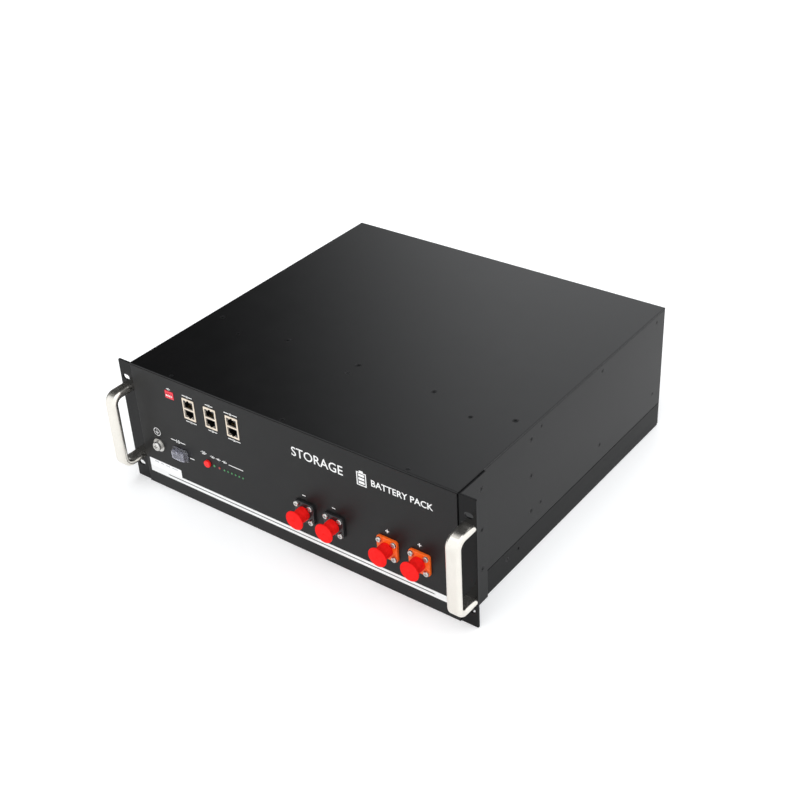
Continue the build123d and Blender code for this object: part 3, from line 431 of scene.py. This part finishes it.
def addFrontPrint():
    p = printing
    thick = p["thick"]
    y0 = panelFace - p["lift"] - thick
    y1 = panelFace - p["lift"]
    # the two long lines, joined at both ends
    lower = [(p["bandLeft"], p["bandLow"]), (p["bandRight"], p["bandLow"]), (p["bandRight"], p["gapLow"]),
             (p["bandLeft"], p["gapLow"])]
    upper = [(p["bandLeft"], p["gapHigh"]), (p["bandRight"], p["gapHigh"]), (p["bandRight"], p["bandHigh"]),
             (p["bandLeft"], p["bandHigh"])]
    endLeft = [(p["bandLeft"], p["gapLow"]), (p["gapLeft"], p["gapLow"]),
               (p["gapLeft"] - p["slant"], p["gapHigh"]), (p["bandLeft"], p["gapHigh"])]
    endRight = [(p["gapRight"] + p["slant"], p["gapLow"]), (p["bandRight"], p["gapLow"]),
                (p["bandRight"], p["gapHigh"]), (p["gapRight"], p["gapHigh"])]
    parts = [plate(shape, y0, y1) for shape in (lower, upper, endLeft, endRight)]
    # plain words with a battery sign between them
    for words, height, base, start, end, weight in titles:
        parts.append(letters(words, height, base, y0, thick, weight, (start, end)))
    parts += batterySign(y0, y1)
    for x, sign in p["poleSigns"]:
        z, reach, half = p["poleHeight"], p["poleReach"], p["poleHalf"]
        parts.append(bar(x - reach, x + reach, z - half, z + half, y0, y1))
        if sign == "+":
            parts.append(bar(x - half, x + half, z + half, z + reach, y0, y1))
            parts.append(bar(x - half, x + half, z - reach, z - half, y0, y1))
    # each number has a dash on both sides that fills its strip
    for number, height, x, base, wide in labels:
        half = height * p["numberWide"] / 2
        parts.append(letters(number, height, base, y0, thick, p["weight"], (x - half, x + half)))
        low, high = base + height / 2 - p["dashHalf"], base + height / 2 + p["dashHalf"]
        parts.append(bar(x - wide / 2, x - half - p["dashGap"], low, high, y0, y1))
        parts.append(bar(x + half + p["dashGap"], x + wide / 2, low, high, y0, y1))
    for dash in dashes:
        parts.append(bar(*dash, y0, y1))
    parts += earthSign(y0, y1)
    makePiece("front_print", parts, inkWhite, "case")


batteryLook = {"x": 0.1044, "z": 0.1308, "half": 0.0062, "tall": 0.0092, "line": 0.0013, "cap": 0.0020,
               "capHalf": 0.0025, "inset": 0.0024, "first": 0.0026, "pitch": 0.0043, "barTall": 0.0030,
               "bars": 3}


def batterySign(y0, y1):
    # Upright cell: an outline with a terminal on top and charge bars
    b = batteryLook
    x, z, half, tall, line, cap = b["x"], b["z"], b["half"], b["tall"], b["line"], b["cap"]
    parts = [bar(x - half, x + half, z - tall, z - tall + line, y0, y1),
             bar(x - half, x + half, z + tall - line - cap, z + tall - cap, y0, y1),
             bar(x - half, x - half + line, z - tall + line, z + tall - line - cap, y0, y1),
             bar(x + half - line, x + half, z - tall + line, z + tall - line - cap, y0, y1),
             bar(x - b["capHalf"], x + b["capHalf"], z + tall - cap, z + tall, y0, y1)]
    for i in range(b["bars"]):
        low = z - tall + b["first"] + b["pitch"] * i
        parts.append(bar(x - half + b["inset"], x + half - b["inset"], low, low + b["barTall"], y0, y1))
    return parts


earthLook = {"x": -0.1942, "z": 0.0778, "radius": 0.0053, "ring": 0.0007, "stem": 0.0003, "stemTall": 0.0032,
             "line": 0.0006, "pitch": 0.0012, "halves": (0.0028, 0.0018, 0.0009)}


def earthSign(y0, y1):
    # Ring round a stem and three bars that shorten downwards
    e = earthLook
    x, z = e["x"], e["z"]
    parts = [ringPlate(x, z, e["radius"], e["radius"] - e["ring"], y0, y1)]
    parts.append(bar(x - e["stem"], x + e["stem"], z, z + e["stemTall"], y0, y1))
    for i, half in enumerate(e["halves"]):
        low = z - e["line"] - e["pitch"] * i
        parts.append(bar(x - half, x + half, low, low + e["line"], y0, y1))
    return parts


addFrontPrint()


sticker = {"left": -0.2150, "right": -0.1642, "low": 0.0250, "high": 0.0355, "lift": 0.00008,
           "thick": 0.00012, "round": 0.0006, "words": "000   00   000   0000", "tall": 0.0016,
           "drop": 0.0032, "textLeft": 0.0085, "textRight": 0.0060, "ink": 0.00002, "inkLift": 0.00003,
           "weight": 0.00004}


def addSticker():
    # Plain white label with rounded corners and a row of noughts
    s = sticker
    back = panelFace - s["lift"]
    front = back - s["thick"]
    middle = (s["low"] + s["high"]) / 2
    corners = [(s["left"], middle), (s["left"], s["low"]), (s["right"], s["low"]), (s["right"], s["high"]),
               (s["left"], s["high"]), (s["left"], middle)]
    outline = roundCorners(corners, [s["round"]] * 4)[:-1]
    makePiece("data_sticker", [plate(outline, front, back)], paperWhite, "case")
    row = letters(s["words"], s["tall"], s["high"] - s["drop"], front - s["inkLift"], s["ink"], s["weight"],
                  (s["left"] + s["textLeft"], s["right"] - s["textRight"]))
    makePiece("sticker_print", [row], inkGrey, "case")


addSticker()
print("front print done")


# dust caps
# radii and depths ahead of the panel
dustCap = {"base": 0.0033, "neck": 0.0082, "lead": 0.0002, "leadDeep": 0.0009, "neckEnd": 0.0088,
           "throat": 0.0078, "throatStart": 0.0115, "head": 0.0114, "rim": 0.0013, "flare": 0.0012,
           "face": 0.0194, "dimple": 0.0011, "dimpleFloor": 0.0008, "dimpleDeep": 0.0003, "bore": 0.0071,
           "under": 0.0105, "steps": 96,
           "corners": (0.0002, 0.0004, 0.0040, 0.0040, 0.0008, 0.0003, 0.0003, 0.0002, 0.0002)}


def addDustCaps():
    # Mushroom profile turned about its axis: the bore, the neck, the thin disc and the moulding dimple
    for number in range(1, 5):
        low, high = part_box(f"dust_cap_{number}")
        x, z = (low.x + high.x) / 2, (low.z + high.z) / 2
        c = dustCap
        outside = [(c["bore"], -c["base"]), (c["neck"] - c["lead"], -c["base"]),
                   (c["neck"], -c["base"] - c["leadDeep"]), (c["neck"], -c["neckEnd"]),
                   (c["throat"], -c["throatStart"]), (c["throat"], -c["face"] + c["rim"] + c["flare"]),
                   (c["head"], -c["face"] + c["rim"]), (c["head"], -c["face"]), (c["dimple"], -c["face"]),
                   (c["dimpleFloor"], -c["face"] + c["dimpleDeep"]), (0, -c["face"] + c["dimpleDeep"])]
        inside = [(0, -c["under"]), (c["bore"], -c["under"])]
        smooth = roundCorners(outside, c["corners"])
        profile = [(max(0.0, radius), panelFace + depth) for radius, depth in inside + smooth]
        piece = makePiece(f"red_cap_{number}", [lathe(profile, x, z, c["steps"])], finishes["cap_red"],
                          f"dust_cap_{number}", 40)
        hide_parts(f"dust_cap_{number}")


addDustCaps()
print("dust caps done")


# power switch boot
# inset from the flange's edge and depth ahead of the panel, ring by ring
boot = {"wide": 0.0240, "tall": 0.0164, "wall": 0.0007, "steps": 96, "power": 0.36, "tip": 0.0058,
        "rings": ((0.0000, 0.0000), (0.0000, 0.0008), (0.0003, 0.0011), (0.0014, 0.0012), (0.0018, 0.0015),
                  (0.0019, 0.0040), (0.0021, 0.0050), (0.0027, 0.0057), (0.0036, 0.0060), (0.0050, 0.0061),
                  (0.0066, 0.0059))}


def addBoot():
    low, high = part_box("power_switch_boot")
    x, z = (low.x + high.x) / 2, (low.z + high.z) / 2
    b = boot
    steps = b["steps"]
    angle = np.linspace(0, 2 * math.pi, steps, endpoint=False)
    # superellipse: the sign of cos or sin times its size to a power below one
    across = np.sign(np.cos(angle)) * np.abs(np.cos(angle)) ** b["power"]
    upward = np.sign(np.sin(angle)) * np.abs(np.sin(angle)) ** b["power"]
    inset, depth = np.array(b["rings"]).T
    points = np.stack([x + (b["wide"] / 2 - inset[:, None]) * across,
                       np.repeat((panelFace - depth)[:, None], steps, 1),
                       z + (b["tall"] / 2 - inset[:, None]) * upward], -1)
    tip = np.array([[x, panelFace - b["tip"], z]])
    last = (len(b["rings"]) - 1) * steps
    faces = gridFaces(len(b["rings"]), steps)
    faces += [(last + i, last + (i + 1) % steps, last + steps) for i in range(steps)]
    piece = makePiece("switch_boot", [(np.concatenate([points.reshape(-1, 3), tip]), faces)],
                      finishes["boot_clear"], "case", 60)
    wall = piece.modifiers.new("wall", "SOLIDIFY")
    wall.thickness = b["wall"]
    wall.offset = -1
    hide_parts("power_switch_boot")


addBoot()


rocker = {"pin": (-0.1599, -0.2080, 0.0598), "turn": -9.0, "front": 0.0039, "thick": 0.00004, "dash": 0.0016,
          "dashHalf": 0.0003, "ring": 0.0016, "ringLine": 0.0005, "reach": 0.0046, "wingRise": 0.0008,
          "wingRun": 0.0085, "lift": 0.0004}


def addRockerMarks():
    # White dash and ring on the rocker's wings: tilted by the wing's slope, then turned about the pin
    r = rocker
    y0 = -r["front"]
    back = y0 - r["thick"]
    dash = bar(-r["reach"] - r["dash"], -r["reach"] + r["dash"], -r["dashHalf"], r["dashHalf"], back, y0)
    ring = ringPlate(r["reach"], 0, r["ring"], r["ring"] - r["ringLine"], back, y0, 32)
    turned = []
    for (points, faces), wing in ((dash, -1), (ring, 1)):
        lean = math.atan2(r["wingRise"], r["wingRun"]) * wing
        c, s = math.cos(-lean), math.sin(-lean)
        tilted = np.stack([points[:, 0] * c - (points[:, 1] - y0) * s,
                           y0 + r["lift"] + points[:, 0] * s + (points[:, 1] - y0) * c, points[:, 2]], -1)
        about = math.radians(r["turn"])
        c, s = math.cos(about), math.sin(about)
        spun = np.stack([tilted[:, 0] * c - tilted[:, 1] * s, tilted[:, 0] * s + tilted[:, 1] * c,
                         tilted[:, 2]], -1)
        turned.append((spun + np.array(r["pin"]), faces))
    makePiece("rocker_marks", turned, inkWhite, "power_rocker")


addRockerMarks()
print("power switch done")


# painted shade round the socket mouths, and contacts
# sizes of the painted shade round each socket mouth
mouth = {"half": 0.0060, "rim": 0.0070, "low": 0.0010, "base": 0.0016, "latch": 0.0088, "high": 0.0108,
         "notch": 0.0032, "lift": 0.00002, "thick": 0.00003}


def addMouthShade():
    # Painted shade round each socket: flat dark bars on the plastic face, clear of the opening and its latch
    parts = []
    m = mouth
    spans = [(-m["rim"], -m["half"], m["low"], m["high"]), (m["half"], m["rim"], m["low"], m["high"]),
             (-m["half"], m["half"], m["low"], m["base"]), (-m["half"], -m["notch"], m["latch"], m["high"]),
             (m["notch"], m["half"], m["latch"], m["high"])]
    for number in range(1, 4):
        low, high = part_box(f"comm_port_{number}")
        x, z = (low.x + high.x) / 2, (low.z + high.z) / 2
        y1 = low.y - m["lift"]
        for way in (1, -1):
            for x0, x1, z0, z1 in spans:
                bottom, top = sorted((z + way * z0, z + way * z1))
                parts.append(bar(x + x0, x + x1, bottom, top, y1 - m["thick"], y1))
    makePiece("socket_mouth_shade", parts, finishes["switch_black"], "case")


contact = {"pitch": 0.00102, "count": 8, "radius": 0.00022, "steps": 7, "start": 0.0022, "deep": 0.0118,
           "low": 0.00185, "rise": 0.0042}


def addContacts():
    # Spring wires in each socket: a quarter-wave path from the floor near the mouth to the back
    parts = []
    c = contact
    t = np.linspace(0, 1, c["steps"])
    for number in range(1, 4):
        low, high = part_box(f"comm_port_{number}")
        x, z = (low.x + high.x) / 2, (low.z + high.z) / 2
        for way in (1, -1):
            depth = panelFace + c["start"] + c["deep"] * t
            rise = z + way * (c["low"] + c["rise"] * np.sin(t * math.pi / 2))
            for i in range(c["count"]):
                across = np.full(c["steps"], x + c["pitch"] * (i - (c["count"] - 1) / 2))
                parts.append(wire(np.stack([across, depth, rise], -1), c["radius"]))
    makePiece("socket_contacts", parts, contactGold, "case", 60)


def wire(path, radius):
    # Square-section wire: four lines offset across and upwards from the path
    offsets = np.array([(-1, 0, -1), (1, 0, -1), (1, 0, 1), (-1, 0, 1)]) * radius
    points = (path[:, None, :] + offsets[None, :, :]).reshape(-1, 3)
    last = (len(path) - 1) * 4
    return points, gridFaces(len(path), 4) + [(0, 1, 2, 3), (last + 3, last + 2, last + 1, last)]


addMouthShade()
addContacts()
print("socket contacts done")


# floor, light, camera
studio = {"floor": 12.0, "floorDrop": 0.0002, "floorGlow": 0.22, "skyBright": 1.36, "skyDark": 0.03,
          "darkTurn": 80.0, "darkEdge": 0.848, "brightEdge": 0.660}
softbox = {"size": 3.0, "power": 25.0, "place": (-0.4, -0.6, 3.2)}



def addFloor():
    half = studio["floor"]
    mesh = bpy.data.meshes.new("floor")
    corners = [(-half, -half, 0), (half, -half, 0), (half, half, 0), (-half, half, 0)]
    mesh.from_pydata(corners, [], [(0, 1, 2, 3)])
    material, _, shader = startMaterial("floor_white", (0.88, 0.88, 0.88), 0.9)
    shader.inputs["Specular IOR Level"].default_value = 0.1
    shader.inputs["Emission Color"].default_value = (1, 1, 1, 1)
    shader.inputs["Emission Strength"].default_value = studio["floorGlow"]
    mesh.materials.append(material)
    floor = bpy.data.objects.new("floor", mesh)
    floor.location.z = -studio["floorDrop"]
    bpy.context.scene.collection.objects.link(floor)


def addSoftbox():
    # One broad square light above, aimed at the case
    light = bpy.data.lights.new("overhead", "AREA")
    light.shape = "RECTANGLE"
    light.size = light.size_y = softbox["size"]
    light.energy = softbox["power"]
    lamp = bpy.data.objects.new("overhead", light)
    lamp.location = softbox["place"]
    lamp.rotation_mode = "QUATERNION"
    lamp.rotation_quaternion = (-Vector(softbox["place"])).to_track_quat("-Z", "Y")
    bpy.context.scene.collection.objects.link(lamp)


def addSky():
    # Bright walls all round but for a dark one to the left, with soft edges between
    world = bpy.data.worlds.new("studio")
    world.use_nodes = True
    tree = world.node_tree
    background = tree.nodes["Background"]
    place = tree.nodes.new("ShaderNodeTexCoord")
    across = tree.nodes.new("ShaderNodeVectorMath")
    across.operation = "DOT_PRODUCT"
    turn = math.radians(studio["darkTurn"])
    across.inputs[1].default_value = (-math.sin(turn), math.cos(turn), 0)
    level = tree.nodes.new("ShaderNodeVectorMath")
    level.operation = "MULTIPLY"
    level.inputs[1].default_value = (1, 1, 0)
    unit = tree.nodes.new("ShaderNodeVectorMath")
    unit.operation = "NORMALIZE"
    tree.links.new(place.outputs["Generated"], level.inputs[0])
    tree.links.new(level.outputs[0], unit.inputs[0])
    tree.links.new(unit.outputs[0], across.inputs[0])
    ramp = tree.nodes.new("ShaderNodeMapRange")
    ramp.interpolation_type = "SMOOTHSTEP"
    ramp.inputs["From Min"].default_value = studio["brightEdge"]
    ramp.inputs["From Max"].default_value = studio["darkEdge"]
    ramp.inputs["To Min"].default_value = studio["skyBright"]
    ramp.inputs["To Max"].default_value = studio["skyDark"]
    tree.links.new(across.outputs["Value"], ramp.inputs["Value"])
    tree.links.new(ramp.outputs["Result"], background.inputs["Strength"])
    background.inputs["Color"].default_value = (0.97, 0.985, 1.0, 1)
    bpy.context.scene.world = world


shot = {"place": (0.80403, -1.02313, 0.90985), "azimuth": 38.417, "elevation": 32.732, "roll": -3.285,
        "lens": 59.85, "sensor": 36.0}


def addCamera():
    turn, rise = math.radians(shot["azimuth"]), math.radians(shot["elevation"])
    back = Vector((math.sin(turn) * math.cos(rise), -math.cos(turn) * math.cos(rise), math.sin(rise)))
    data = bpy.data.cameras.new("camera")
    data.lens = shot["lens"]
    data.sensor_width = shot["sensor"]
    data.clip_start, data.clip_end = 0.05, 50
    camera = bpy.data.objects.new("camera", data)
    level = (-back).to_track_quat("-Z", "Y").to_matrix()
    spun = level @ Matrix.Rotation(math.radians(shot["roll"]), 3, "Z")
    camera.matrix_world = Matrix.Translation(Vector(shot["place"])) @ spun.to_4x4()
    bpy.context.scene.collection.objects.link(camera)
    bpy.context.scene.camera = camera


addFloor()
addSoftbox()
addSky()
addCamera()
bpy.context.scene.view_settings.view_transform = "Standard"
bpy.context.scene.view_settings.look = "None"
print("studio done")
